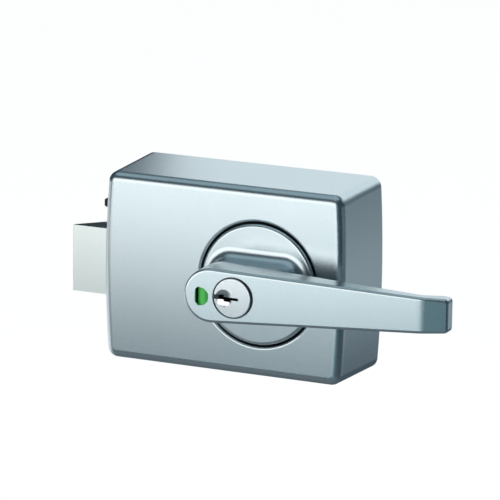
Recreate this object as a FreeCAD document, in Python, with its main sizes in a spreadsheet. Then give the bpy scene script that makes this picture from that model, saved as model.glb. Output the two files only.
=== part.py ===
import FreeCAD, Part
import Sketcher
import math
import os

# Lever lockset: a surface lock for a door, with a latch bolt, a deadlocking plunger and an inside lever.
# The origin is on the lever's axis at the door's face. The front faces -Y, the bolt points to -X,
# the lever's grip to +X, and +Z is up. All lengths are in millimetres.

# Driving dimensions, one name each.
SIZES = {
    # Case
    "case_left": 60, "case_right": 32, "case_high": 70, "case_rise": 0.6, "case_deep": 33.5,
    "side_wall": 2.2, "front_wall": 2.5, "left_bow": 1.6, "right_bow": 1.3, "draft": 1.6,
    "corner_round": 4, "front_round": 3.2, "hole_radius": 22.6, "hole_lip": 0.9,
    # Bosses in the case and the screws in them
    "boss_radius": 3.4, "small_screw": 1.5, "small_head": 2.8, "head_thick": 1.1, "thread_long": 8,
    "cover_boss_left_in": 11, "cover_boss_right_in": 5.7, "cover_boss_top_in": 7.8,
    "bearing_boss_side": 20.5, "bearing_boss_up": 18.5, "bearing_boss_long": 4,
    # Plates, and the ledge and the hooks that hold the case on them
    "ledge_front": 4.5, "ledge_back": 2.4, "ledge_in": 3, "ledge_half": 17,
    "hook_in": 5.5, "hook_thick": 2, "hook_wide": 6, "hook_up": 8, "finger_thick": 2.2, "finger_gap": 0.8,
    "cover_gap": 0.8, "plate_round": 1.8, "bearing_round": 3, "tab_half": 3.5, "screw_gap": 0.1,
    "cover_screw_long": 9.2, "bearing_screw_long": 5.8, "slot_half": 1.6, "slot_wide": 0.7,
    "plate_thick": 2, "plate_gap": 0.3, "flange_deep": 11, "flange_thick": 2, "flange_high": 52,
    "cover_thick": 1.5, "cover_front": 5, "bearing_thick": 2, "bearing_wide": 48.4, "bearing_high": 46.8,
    "door_hole": 2.6, "door_hole_pitch": 70, "door_hole_rise": 50, "door_hole_mid": 14,
    "tie_hole_pitch": 27, "bar_hole": 8.5,
    "case_screw": 2, "case_screw_rise": 44, "case_screw_in": 6, "case_screw_long": 5.5,
    "case_head": 3.9, "case_head_deep": 2,
    # Lever
    "lever_front": 54.9, "lever_lean": 5.8, "lever_left": 18.1, "lever_bend": 67.2, "lever_back": 43.3,
    "lever_end": 76.1, "head_half": 9.7, "grip_half": 6, "edge_round": 1.1,
    "disc_radius": 21.8, "disc_front": 34, "disc_round": 1.2,
    "neck_left": 16.5, "neck_right": 16.4, "neck_half": 8.8, "neck_corner": 6.5,
    "shoulder_radius": 19, "hub_radius": 17, "hub_flat": 15.4, "hub_end": 20.4,
    "grip_block_back": 5, "grip_block_long": 24, "grip_corner": 1.6, "facet_fall": 4.1,
    "bend_touch": 1.4, "past": 3, "face_room": 22, "back_bend_in": 1.2, "back_bend_long": 5.2,
    "back_bend_fall": 3.3, "back_room": 9, "set_screw_in": 1.8, "set_screw_long": 11,
    "set_screw_hole_long": 12, "lever_swing": 40,
    # Lever's cam and clip
    "cam_thick": 2.5, "cam_ring": 20, "cam_arm": 6, "bolt_travel": 15.5, "clip_thick": 0.9,
    "clip_groove": 1.1, "groove_deep": 1.8, "clip_reach": 2, "clip_mouth": 3,
    # Key cylinder
    "plug_radius": 6.35, "plug_face": 7, "plug_hole": 7.4, "plug_stand": 0.7, "plug_flange": 2.9,
    "barrel_radius": 8.6, "barrel_end": 24.5, "chamber_reach": 14.9, "chamber_half": 3.8,
    "pin_radius": 1.4, "pin_pitch": 4, "first_pin_in": 5.2, "key_slot": 1.5, "key_slot_reach": 2.4,
    "dimple_radius": 3.1, "dimple_deep": 0.7, "dimple_low": 0.25, "tail_radius": 5, "tail_long": 2.1,
    "face_round": 0.3, "slot_mouth_start": 8, "slot_mouth_end": 3.2, "slot_step_end": 0.6, "slot_lap": 0.2,
    "slot_rise": 0.5, "slot_end": 29, "thread_deep": 7, "chamber_margin": 2.4, "pin_hole_start": 4,
    "cover_margin": 1.8, "cover_half": 2.2, "cover_deep": 1.25, "seat_deep": 1.3, "shear_gap": 0.12,
    "driver_long": 3.28, "pin_spring_outer": 1.25, "pin_spring_inner": 0.8, "pin_spring_gap": 0.1,
    "key_pin_1": 2.6, "key_pin_2": 3.1, "key_pin_3": 2.8, "key_pin_4": 3.4, "key_pin_5": 3,
    "key_pin_end": 0.25,
    "cam_disc": 7, "cam_disc_thick": 2, "cam_nose_half": 2, "cam_nose_start": 4,
    "cam_nose_end": 8.2, "cam_screw_head": 5.8, "cam_screw_head_thick": 0.9, "cam_screw_long": 6.5,
    "cam_screw_slot": 0.5,
    # Indicator
    "drum_radius": 2.6, "drum_high": 7.8, "drum_left": 11.5, "drum_in": 2.5, "window_left": 13.8,
    "window_right": 9.1, "window_up": 3, "window_down": 3.7, "window_bow": 5.5, "window_deep": 9,
    "axle_radius": 0.8, "axle_reach": 0.7, "drum_gap": 0.1, "carrier_right": 9,
    "carrier_wall": 0.6, "carrier_side": 0.7, "carrier_end": 0.9, "carrier_rear": 1,
    # Return spring, follower and its clip
    "return_inner": 0.6, "return_outer": 1.9, "return_thick": 3.4, "return_gap": 0.25,
    "follower_radius": 8, "follower_flange": 10.5, "flange_long": 2, "follower_arm_front": 11.8,
    "follower_arm_back": 9.4, "arm_half": 2.5, "arm_reach": 25.5, "bar_slot_wide": 2.4, "bar_slot_long": 9.2,
    "follower_groove": 7, "follower_groove_front": 2.85, "follower_groove_long": 0.6, "follower_clip": 0.5,
    "follower_clip_radius": 9.6, "arm_start": 3,
    # Bolt
    "bolt_high": 24.3, "bolt_front": 27, "bolt_back": 12, "bolt_tip": 76, "bolt_nose": 0.8,
    "bolt_bevel": 13.2, "bolt_end": 42, "tail_front": 17.5, "tail_thick": 3, "tail_half": 9,
    "tail_lap": 8, "tail_right": 6, "tail_arm": 12,
    "lug_thick": 2.5, "lug_high": 5.4, "lug_back": 9.2, "rivet_radius": 1.5, "rivet_up": 5, "rivet_in": 4,
    "ear_right": 13, "ear_thick": 3, "spring_wall": 20, "post_left": 30, "spring_wire": 0.8,
    "spring_seat": 0.2,
    "guide_head": 1.4, "guide_head_thick": 1.2, "guide_pin": 2, "guide_pin_left": 20, "spring_radius": 3,
    "spring_down": 15,
    # Deadlocking plunger and its detent
    "plunger_front": 20, "plunger_thick": 3, "plunger_tip": 66.8, "plunger_low_in": 17.9,
    "plunger_top_in": 13.7,
    "plunger_travel": 4.5, "ramp_rise": 0.3, "ramp_low_in": 19.6,
    "ramp_start": -57.4, "plunger_end": 41, "nose_bevel_long": 3.4, "nose_bevel_high": 1.6,
    "nose_corner": 0.4,
    "nose_back": 2, "plunger_side": 1, "plunger_over": 1.5, "plunger_spring_outer": 1.9,
    "plunger_spring_inner": 1.2, "plunger_spring_in": 14.4, "detent_left": 50, "detent_wide": 5,
    "detent_over": 0.5, "detent_under": 1, "detent_rest": 0.35, "detent_gap": 0.1, "cheek_thick": 1.8,
    "guide_up": 0.8, "guide_top": 3.1,
    # Running gaps
    "hub_back": 2.4, "run_gap": 0.05, "slide_gap": 0.15, "near_gap": 0.3, "disc_gap": 0.8,
}

doc = FreeCAD.newDocument("lever_lockset")
sheet = doc.addObject("Spreadsheet::Sheet", "Sheet")
for row, (name, number) in enumerate(SIZES.items(), start=1):
    sheet.set("A%d" % row, name)
    sheet.set("B%d" % row, str(number))
    sheet.setAlias("B%d" % row, name)
doc.recompute()


class Size:
    """A length known both as an expression on the sheet and as a number."""

    def __init__(self, text, value):
        self.text = text
        self.value = value

    def __add__(self, other):
        other = size(other)
        return Size("(%s + %s)" % (self.text, other.text), self.value + other.value)

    def __sub__(self, other):
        other = size(other)
        return Size("(%s - %s)" % (self.text, other.text), self.value - other.value)

    def __mul__(self, other):
        other = size(other)
        return Size("(%s * %s)" % (self.text, other.text), self.value * other.value)

    def __truediv__(self, other):
        other = size(other)
        return Size("(%s / %s)" % (self.text, other.text), self.value / other.value)

    def __neg__(self):
        return Size("(0 - %s)" % self.text, -self.value)

    def __radd__(self, other):
        return size(other) + self

    def __rsub__(self, other):
        return size(other) - self

    def __rmul__(self, other):
        return size(other) * self


def size(item):
    """A sheet name, a plain number or a Size, as a Size."""
    if isinstance(item, Size):
        return item
    if isinstance(item, str):
        return Size("Sheet." + item, float(SIZES[item]))
    return Size(repr(item), float(item))


def root(item):
    """The square root of a size."""
    item = size(item)
    return Size("sqrt(%s)" % item.text, math.sqrt(item.value))


def bind(thing, **sizes):
    """Bind each named property of a thing to a size."""
    for name, item in sizes.items():
        item = size(item)
        setattr(thing, name, item.value)
        thing.setExpression(name, item.text)


def place(thing, x=0, y=0, z=0, turn=None):
    """Put a thing at (x, y, z), turned from Z by a fixed rotation."""
    where = [size(item) for item in (x, y, z)]
    spot = FreeCAD.Vector(*[item.value for item in where])
    thing.Placement = FreeCAD.Placement(spot, turn or FreeCAD.Rotation())
    for axis, item in zip("xyz", where):
        thing.setExpression("Placement.Base." + axis, item.text)


# Turns that point a cylinder's own Z to the viewer, to the door, to the grip or to the bolt.
TO_VIEWER = FreeCAD.Rotation(FreeCAD.Vector(1, 0, 0), 90)
TO_DOOR = FreeCAD.Rotation(FreeCAD.Vector(1, 0, 0), -90)
TO_GRIP = FreeCAD.Rotation(FreeCAD.Vector(0, 1, 0), 90)
TO_BOLT = FreeCAD.Rotation(FreeCAD.Vector(0, 1, 0), -90)


def block(name, x, y, z, body=None, kind=None):
    """A box between pairs of limits along X, Y and Z, alone or as a feature of a body."""
    (x0, x1), (y0, y1), (z0, z1) = [(size(a), size(b)) for a, b in (x, y, z)]
    thing = body.newObject("PartDesign::%sBox" % kind, name) if body else doc.addObject("Part::Box", name)
    bind(thing, Length=x1 - x0, Width=y1 - y0, Height=z1 - z0)
    place(thing, x0, y0, z0)
    return thing


def rod(name, radius, long, x=0, y=0, z=0, turn=TO_VIEWER, body=None, kind=None):
    """A cylinder from a point along a turned axis, alone or as a feature of a body."""
    maker = "PartDesign::%sCylinder" % kind
    thing = body.newObject(maker, name) if body else doc.addObject("Part::Cylinder", name)
    bind(thing, Radius=radius, Height=long)
    place(thing, x, y, z, turn)
    return thing


def taper(name, radius, top_radius, long, x=0, y=0, z=0, turn=TO_VIEWER, body=None, kind=None):
    """A cone from a point along a turned axis, alone or as a feature of a body."""
    thing = body.newObject("PartDesign::%sCone" % kind, name) if body else doc.addObject("Part::Cone", name)
    bind(thing, Radius1=radius, Radius2=top_radius, Height=long)
    place(thing, x, y, z, turn)
    return thing


def fuse(name, things):
    joined = doc.addObject("Part::MultiFuse", name)
    joined.Shapes = things
    return joined


def cut(name, base, tools):
    """The base with every tool cut away."""
    left = doc.addObject("Part::Cut", name)
    left.Base = base
    left.Tool = tools[0] if len(tools) == 1 else fuse(name + "_tools", tools)
    return left


def new_body(name):
    body = doc.addObject("PartDesign::Body", name)
    body.Label = name
    return body


def plane_of(body, role):
    return [item for item in body.Origin.OriginFeatures if item.Role == role][0]


def sketch(body, name, role, offset=0):
    """An empty sketch on one of the body's own planes. On XZ_Plane an offset goes towards the viewer."""
    offset = size(offset)
    drawing = body.newObject("Sketcher::SketchObject", name)
    drawing.AttachmentSupport = [(plane_of(body, role), "")]
    drawing.MapMode = "FlatFace"
    drawing.AttachmentOffset = FreeCAD.Placement(FreeCAD.Vector(0, 0, offset.value), FreeCAD.Rotation())
    drawing.setExpression("AttachmentOffset.Base.z", offset.text)
    return drawing


def fix(drawing, kind, geometry, point, item):
    """Tie one coordinate of a point to a size."""
    item = size(item)
    index = drawing.addConstraint(Sketcher.Constraint(kind, -1, 1, geometry, point, item.value))
    drawing.setExpression("Constraints[%d]" % index, item.text)


def outline(drawing, corners, radii=None):
    """A closed outline through corners; radii gives the radius of each side that is an arc.

    An arc bulges to the right of its direction of travel, or to the left where its radius is negative.
    """
    radii = {side: size(item) for side, item in (radii or {}).items()}
    corners = [(size(x), size(y)) for x, y in corners]
    points = [FreeCAD.Vector(x.value, y.value, 0) for x, y in corners]
    first = drawing.GeometryCount
    count = len(points)
    starts, ends = {}, {}
    for side in range(count):
        start, end = points[side], points[(side + 1) % count]
        if side not in radii:
            drawing.addGeometry(Part.LineSegment(start, end), False)
            starts[side], ends[side] = 1, 2
            continue
        radius = radii[side].value
        middle = (start + end) * 0.5
        half = (end - start) * 0.5
        away = FreeCAD.Vector(half.y, -half.x, 0).normalize() * math.copysign(1, radius)
        rise = abs(radius) - math.sqrt(radius * radius - half.Length ** 2)
        drawing.addGeometry(Part.Arc(start, middle + away * rise, end), False)
        starts[side], ends[side] = (1, 2) if radius > 0 else (2, 1)
    for side in range(count):
        after = (side + 1) % count
        joint = Sketcher.Constraint("Coincident", first + side, ends[side], first + after, starts[after])
        drawing.addConstraint(joint)
    for side, (x, y) in enumerate(corners):
        fix(drawing, "DistanceX", first + side, starts[side], x)
        fix(drawing, "DistanceY", first + side, starts[side], y)
    for side, item in radii.items():
        radius = item if item.value > 0 else -item
        index = drawing.addConstraint(Sketcher.Constraint("Radius", first + side, radius.value))
        drawing.setExpression("Constraints[%d]" % index, radius.text)


def ring(drawing, radius, x=0, y=0):
    """A circle in a sketch."""
    x, y, radius = size(x), size(y), size(radius)
    centre = FreeCAD.Vector(x.value, y.value, 0)
    index = drawing.addGeometry(Part.Circle(centre, FreeCAD.Vector(0, 0, 1), radius.value), False)
    fix(drawing, "DistanceX", index, 3, x)
    fix(drawing, "DistanceY", index, 3, y)
    tie = drawing.addConstraint(Sketcher.Constraint("Radius", index, radius.value))
    drawing.setExpression("Constraints[%d]" % tie, radius.text)


def pad(body, name, drawing, long, lean=None):
    """Add a sketch's area, along the sketch's normal."""
    feature = body.newObject("PartDesign::Pad", name)
    feature.Profile = drawing
    bind(feature, Length=long)
    if lean is not None:
        bind(feature, TaperAngle=lean)
    return feature


def pocket(body, name, drawing, long, lean=None, along=True):
    """Take a sketch's area away, along the sketch's normal or against it."""
    feature = body.newObject("PartDesign::Pocket", name)
    feature.Profile = drawing
    feature.Reversed = along
    bind(feature, Length=long)
    if lean is not None:
        bind(feature, TaperAngle=lean)
    return feature


def round_edges(body, name, wanted, radius):
    """Round every edge of the body's last feature that the test picks."""
    doc.recompute()
    base = body.Tip
    names = ["Edge%d" % (number + 1) for number, edge in enumerate(base.Shape.Edges) if wanted(edge)]
    feature = body.newObject("PartDesign::Fillet", name)
    feature.Base = (base, names)
    bind(feature, Radius=radius)
    doc.recompute()
    return feature


def close(a, b, limit=0.05):
    return abs(a - b) < limit


# Lines and levels that several pieces share.
case_left = size("case_left")
case_right = size("case_right")
half_high = size("case_high") / 2
middle = size("case_rise")
plunger_low = half_high - "plunger_low_in"
plunger_top = half_high - "plunger_top_in"
front = -size("case_deep")
inner_front = front + "front_wall"
left_wall_in = "side_wall" - case_left
right_wall_in = case_right - "side_wall"
arm_radius = size("bolt_travel") / (size("lever_swing") * (math.pi / 180))


def bow_radius(rise, half):
    """The radius of a side that bows out by a rise over twice a half length."""
    return (half * half + size(rise) * rise) / (size(rise) * 2)


def case_outline(drawing, inset):
    """The case's outline, with its two bowed sides, brought in by an inset."""
    left, right, high = -case_left + inset, case_right - inset, half_high - inset
    corners = [(left, middle - high), (right, middle - high), (right, middle + high), (left, middle + high)]
    outline(drawing, corners, {1: bow_radius("right_bow", high), 3: bow_radius("left_bow", high)})


def hollow_outline(drawing, inset):
    """The case's inner outline: as outside, with rounded corners."""
    left, right, high = -case_left + inset, case_right - inset, half_high - inset
    turn = size("corner_round") - inset
    side = high - turn
    corners = [(left + turn, middle - high), (right - turn, middle - high), (right, middle - side),
               (right, middle + side), (right - turn, middle + high), (left + turn, middle + high),
               (left, middle + side), (left, middle - side)]
    outline(drawing, corners, {1: turn, 2: bow_radius("right_bow", side), 3: turn,
                               5: turn, 6: bow_radius("left_bow", side), 7: turn})


def along_depth(edge):
    return edge.BoundBox.YLength > SIZES["case_deep"] * 0.7 and edge.BoundBox.ZLength < 3


def boss_places(side_left, side_right, up, middle):
    return [(x, z) for x in (-side_left, side_right) for z in (middle - up, middle + up)]


COVER_BOSSES = boss_places(size("case_left") - "cover_boss_left_in",
                           size("case_right") - "cover_boss_right_in",
                           half_high - "cover_boss_top_in", middle)
BEARING_BOSSES = boss_places(size("bearing_boss_side"), size("bearing_boss_side"), size("bearing_boss_up"),
                             size(0))
screw_level = size("case_screw_rise") / 2 / half_high
screw_face = -case_left - size("left_bow") * (1 - screw_level * screw_level) + 0.15
SCREW_RISES = (middle - size("case_screw_rise") / 2, middle + size("case_screw_rise") / 2)


def make_case():
    """Die-cast case: a shell open to the door, with the lever's round opening in front."""
    body = new_body("case")
    shell = sketch(body, "case_shell", "XZ_Plane")
    case_outline(shell, 0)
    pad(body, "case_block", shell, "case_deep", -size("draft"))
    round_edges(body, "case_corners", along_depth, "corner_round")

    def at_front(edge):
        return close(edge.BoundBox.YMin, front.value) and close(edge.BoundBox.YMax, front.value)

    round_edges(body, "case_front_round", at_front, "front_round")
    hollow = sketch(body, "case_hollow", "XZ_Plane")
    hollow_outline(hollow, "side_wall")
    pocket(body, "case_inside", hollow, size("case_deep") - "front_wall", size("draft"))

    opening = sketch(body, "case_opening", "XZ_Plane", "case_deep")
    ring(opening, "hole_radius")
    pocket(body, "case_hole", opening, "front_wall", along=False)

    def lip(edge):
        return at_front(edge) and close(edge.BoundBox.ZLength, 2 * SIZES["hole_radius"])

    round_edges(body, "case_hole_lip", lip, "hole_lip")
    for number, (x, z) in enumerate(COVER_BOSSES, start=1):
        long = -inner_front - "cover_front"
        rod("cover_boss_%d" % number, "boss_radius", long, x, inner_front, z, TO_DOOR, body, "Additive")
    for number, (x, z) in enumerate(BEARING_BOSSES, start=1):
        name = "bearing_boss_%d" % number
        rod(name, "boss_radius", "bearing_boss_long", x, inner_front, z, TO_DOOR, body, "Additive")
    # The ledge inside the right wall, which hooks under the plate's two fingers.
    ledge = size("ledge_half")
    block("case_ledge", (right_wall_in - "ledge_in", right_wall_in + "right_bow" + 0.5),
          (-size("ledge_front"), -size("ledge_back")), (-ledge, ledge), body, "Additive")
    hole = size("small_screw") + "run_gap"
    for number, (x, z) in enumerate(COVER_BOSSES, start=1):
        rod("cover_thread_%d" % number, hole, "thread_long", x, -size("cover_front"), z, TO_VIEWER, body,
            "Subtractive")
    seat = inner_front + "bearing_boss_long"
    for number, (x, z) in enumerate(BEARING_BOSSES, start=1):
        rod("bearing_thread_%d" % number, hole, "bearing_boss_long", x, seat, z, TO_VIEWER, body,
            "Subtractive")
    outside = -case_left - "left_bow" - 1
    gap = size("slide_gap")
    block("bolt_opening", (outside, left_wall_in + 2), (-size("bolt_front") - gap, gap - "bolt_back"),
          (-size("bolt_high") / 2 - gap, size("bolt_high") / 2 + gap), body, "Subtractive")
    block("plunger_opening", (outside, left_wall_in + 2),
          (-size("plunger_front") - gap, gap - "plunger_front" + "plunger_thick"),
          (plunger_low - gap, plunger_top + gap), body, "Subtractive")
    for number, z in enumerate(SCREW_RISES, start=1):
        y = -size("case_screw_in")
        rod("case_screw_hole_%d" % number, size("case_screw") + "slide_gap", 6, outside, y, z, TO_GRIP, body,
            "Subtractive")
        taper("case_screw_sink_%d" % number, size("case_head") + gap, size("case_screw") + gap,
              "case_head_deep", screw_face, y, z, TO_GRIP, body, "Subtractive")
    return body


def lever_face(x):
    """The y of the lever's leaning front face at a distance x from the hub axis."""
    return size(x) * math.tan(math.radians(SIZES["lever_lean"])) - "lever_front"


def on_plane(edge, low, high):
    """Whether an edge lies within a band of y."""
    box = edge.BoundBox
    return box.YMin > low and box.YMax < high


plug_front = size("lever_front") + "plug_stand"
plug_step = plug_front - "plug_flange"
PIN_LEVELS = [size("first_pin_in") - plug_step + size("pin_pitch") * number for number in range(5)]
barrel_front = size("run_gap") - plug_step
drum_x = -size("drum_left")
drum_y = size("drum_in") - "lever_front"
carrier_left = drum_x - "drum_radius" - "carrier_side"
carrier_half = size("drum_high") / 2 + "carrier_end"
carrier_front = drum_y - "drum_radius" - "drum_gap"
carrier_back = drum_y + "drum_radius" + "carrier_rear"
chamber_front = PIN_LEVELS[0] - "chamber_margin"
shoulder_back = inner_front + "bearing_boss_long" - "run_gap"
cam_front = inner_front + "bearing_boss_long" + "bearing_thick" + "run_gap"
cam_back = cam_front + "cam_thick"
clip_front = cam_back + "run_gap"
clip_back = clip_front + "clip_groove"
groove_radius = size("hub_radius") - "groove_deep"
set_screw_y = shoulder_back - "set_screw_in"


def make_lever():
    """Lever casting: grip and head, neck, disc, shoulder and hub in one piece."""
    body = new_body("lever_handle")
    left, bend, end = -size("lever_left"), size("lever_bend"), size("lever_end")
    high, low, back = size("head_half"), size("grip_half"), -size("lever_back")
    # The outline seen from the front: a round nose and two straight sides that touch it, up to the end.
    reach = end - left - high
    span = reach * reach + low * low
    touch = root(span - high * high)
    touch_x = left + high + high * (high * reach - low * touch) / span
    touch_z = high * (high * low + reach * touch) / span
    grip = sketch(body, "grip_outline", "XZ_Plane", size("lever_back") - "grip_block_back")
    outline(grip, [(touch_x, -touch_z), (end, -low), (end, low), (touch_x, touch_z), (left, 0)],
            {3: high, 4: high})
    pad(body, "grip_block", grip, "grip_block_long")

    def corner_line(edge):
        box = edge.BoundBox
        return box.XMin > end.value - 0.1 and box.YLength > 10

    round_edges(body, "grip_end_corners", corner_line, "grip_corner")
    # The leaning face, the end facet and the back, which bends towards the door near the end.
    past = size("past")
    cut_low = -high - past
    cut_high = (high + past) * 2
    face = sketch(body, "face_cut", "XY_Plane", cut_low)
    # The face meets the end facet in an arc that touches both, at a distance bend_touch from the corner.
    lean = size(math.tan(math.radians(SIZES["lever_lean"])))
    slope = size("facet_fall") / (end + past - bend)
    turn = (slope - lean) / (lean * slope + 1)
    bend_round = size("bend_touch") * turn / (root(turn * turn + 1) - 1)
    before = size("bend_touch") / root(lean * lean + 1)
    after = size("bend_touch") / root(slope * slope + 1)
    outline(face, [(left - past, back - "face_room"), (end + past, back - "face_room"),
                   (end + past, lever_face(bend) + "facet_fall"),
                   (bend + after, lever_face(bend) + slope * after),
                   (bend - before, lever_face(bend - before)),
                   (left - past, lever_face(left - past))], {3: -bend_round})
    pocket(body, "grip_face", face, cut_high)
    rear = sketch(body, "back_cut", "XY_Plane", cut_low)
    tip_back = back + "back_bend_fall"
    outline(rear, [(left - past, back), (bend - "back_bend_in", back), (bend + "back_bend_long", tip_back),
                   (end + past, tip_back), (end + past, back + "back_room"),
                   (left - past, back + "back_room")])
    pocket(body, "grip_back", rear, cut_high)

    def outer_edge(edge):
        """The long edges round the face and the end, but not the lines across the bends."""
        box = edge.BoundBox
        across = box.XLength < 0.1 and box.YLength < 0.1 and box.XMax < end.value - 1
        return not across and not (box.ZLength < 0.1 and box.XLength < 0.1 and box.YLength > 3)

    round_edges(body, "grip_round", outer_edge, "edge_round")
    # Neck from the grip's back to the disc, wider than the opening in the casting for the cylinder.
    neck = sketch(body, "neck_outline", "XZ_Plane", size("disc_front") - 0.5)
    neck_left, neck_right, neck_half = -size("neck_left"), size("neck_right"), size("neck_half")
    turn = size("neck_corner")
    outline(neck, [(neck_left + turn, -neck_half), (neck_right - turn, -neck_half),
                   (neck_right, turn - neck_half), (neck_right, neck_half - turn),
                   (neck_right - turn, neck_half), (neck_left + turn, neck_half),
                   (neck_left, neck_half - turn), (neck_left, turn - neck_half)],
            {1: turn, 3: turn, 5: turn, 7: turn})
    pad(body, "neck", neck, size("lever_back") - "disc_front" + past)
    rod("disc", "disc_radius", size("disc_front") + inner_front, 0, inner_front, 0, TO_VIEWER, body,
        "Additive")
    rod("shoulder", "shoulder_radius", shoulder_back - inner_front + 0.5, 0, shoulder_back, 0, TO_VIEWER,
        body, "Additive")
    rod("hub", "hub_radius", size("hub_end") * -1 - inner_front, 0, -size("hub_end"), 0, TO_VIEWER, body,
        "Additive")

    def neck_foot(edge):
        box = edge.BoundBox
        level = -SIZES["disc_front"]
        flat = close(box.YMin, level) and close(box.YMax, level)
        return flat and box.ZLength < 2 * SIZES["disc_radius"] - 1

    neck_round = size("disc_radius") - "disc_round" - "neck_left" - "near_gap"
    round_edges(body, "neck_fillet", neck_foot, neck_round)

    def rim(edge):
        box = edge.BoundBox
        level = -SIZES["disc_front"]
        flat = close(box.YMin, level) and close(box.YMax, level)
        return flat and box.ZLength > 2 * SIZES["disc_radius"] - 1

    round_edges(body, "disc_rim", rim, "disc_round")
    # Flats on the hub for the cam, the clip's groove, and the cylinder's place.
    for side, z in (("upper", (size("hub_flat"), size("hub_radius") + 1)),
                    ("lower", (-size("hub_radius") - 1, -size("hub_flat")))):
        block("hub_flat_" + side, (-size("hub_radius"), "hub_radius"), (cam_front, 1 - size("hub_end")), z,
              body, "Subtractive")
    groove = sketch(body, "clip_groove", "XZ_Plane", -clip_back)
    ring(groove, size("hub_radius") + 1)
    ring(groove, groove_radius)
    pocket(body, "clip_cut", groove, "clip_groove")
    rod("face_hole", "plug_hole", "face_room", 0, -plug_step, 0, TO_VIEWER, body, "Subtractive")
    rod("barrel_hole", size("barrel_radius") + "run_gap", plug_step - "hub_end" + 1, 0,
        1 - size("hub_end"), 0, TO_VIEWER, body, "Subtractive")
    room = size("slide_gap")
    block("chamber_hole", (0, size("chamber_reach") + room), (chamber_front - room, 1 - size("hub_end")),
          (-size("chamber_half") - room, size("chamber_half") + room), body, "Subtractive")
    block("drum_room", (carrier_left - room, 0), (carrier_front - room, carrier_back + room),
          (-carrier_half - room, carrier_half + room), body, "Subtractive")
    window = sketch(body, "window_outline", "XZ_Plane", -carrier_front)
    w_left, w_right = -size("window_left"), -size("window_right")
    w_up, w_down = size("window_up"), -size("window_down")
    outline(window, [(w_left + 1, w_down), (w_right - 1.4, w_down + 0.2), (w_right, w_down + 1.8),
                     (w_right, w_up - 1.9), (w_right - 1.4, w_up - 0.5), (w_left + 1, w_up),
                     (w_left, w_up - 1.2), (w_left, w_down + 1.2)], {2: "window_bow"})
    pocket(body, "window", window, "window_deep")
    rod("set_screw_hole", size("small_screw") + "run_gap", "set_screw_hole_long", 0, set_screw_y,
        -size("shoulder_radius") - 1, FreeCAD.Rotation(), body, "Subtractive")
    return body


plate_left = left_wall_in + "plate_gap"
plate_right = right_wall_in - "plate_gap"
plate_half = half_high - "side_wall" - "plate_gap"
cover_left = plate_left + "flange_thick" + 0.8
cover_back = size("cover_thick") - "cover_front"
bearing_back = inner_front + "bearing_boss_long" + "bearing_thick"
tail_back = size("tail_thick") - "tail_front"
spring_y = (tail_back - "tail_front") / 2
ear_right = -size("ear_right")
ear_low = -size("spring_down") - "tab_half"
spring_wall = size("spring_wall")
post_left = -size("post_left")
lug_left = size("slide_gap")
lug_right = lug_left + "lug_thick"
lug_low = size("cam_ring") + 0.6
lug_high = lug_low + "lug_high"
hook_x = right_wall_in - "hook_in"
finger_back = -size("ledge_front") - "near_gap"
finger_front = finger_back - "finger_thick"
rivet_x = size("rivet_in") - "bolt_end" - "tail_lap"
rivet_long = size("tail_front") - "bolt_back" + 3.5
RIVET_RISES = (-size("rivet_up"), size("rivet_up"))


def corner_edge(width, height, level=0.0):
    """A test for the edges along Y at the corners of a plate of that half height."""
    def test(edge):
        box = edge.BoundBox
        flat = box.XLength < 0.01 and box.ZLength < 0.01
        return flat and abs(box.XMin - width[0].value) * abs(box.XMin - width[1].value) < 0.01 \
            and close(abs(box.ZMin - level), height.value)
    return test


def make_mounting_plate():
    """Steel plate that is screwed to the door, with a folded flange and two hooked fingers."""
    body = new_body("mounting_plate")
    back = -size("plate_thick")
    block("door_plate", (plate_left, plate_right), (back, 0), (middle - plate_half, middle + plate_half),
          body, "Additive")
    round_edges(body, "door_plate_corners", corner_edge((plate_left, plate_right), plate_half, middle.value),
                "plate_round")
    flange = size("flange_high") / 2
    block("door_flange", (plate_left, plate_left + "flange_thick"), (-size("flange_deep"), 0),
          (middle - flange, middle + flange), body, "Additive")
    wide = size("hook_wide")
    for side, low in (("upper", size("hook_up")), ("lower", -size("hook_up") - wide)):
        block("hook_riser_" + side, (hook_x, hook_x + "hook_thick"), (finger_front, 0), (low, low + wide),
              body, "Additive")
        block("hook_finger_" + side, (hook_x, right_wall_in - "finger_gap"), (finger_front, finger_back),
              (low, low + wide), body, "Additive")
    rod("bar_hole", "bar_hole", "plate_thick", turn=TO_VIEWER, body=body, kind="Subtractive")
    pitch, rise = size("door_hole_pitch") / 2, size("door_hole_rise") / 2
    for number, (x, z) in enumerate([(x, z) for x in (-pitch, pitch) for z in (-rise, rise)], start=1):
        rod("door_hole_%d" % number, "door_hole", "plate_thick", x - "door_hole_mid", 0, z, TO_VIEWER, body,
            "Subtractive")
    for number, x in enumerate((-size("tie_hole_pitch") / 2, size("tie_hole_pitch") / 2), start=1):
        rod("tie_hole_%d" % number, "door_hole", "plate_thick", x, 0, 0, TO_VIEWER, body, "Subtractive")
    for number, z in enumerate(SCREW_RISES, start=1):
        rod("flange_thread_%d" % number, size("case_screw") + "run_gap", "flange_thick", plate_left,
            -size("case_screw_in"), z, TO_GRIP, body, "Subtractive")
    return body


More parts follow.
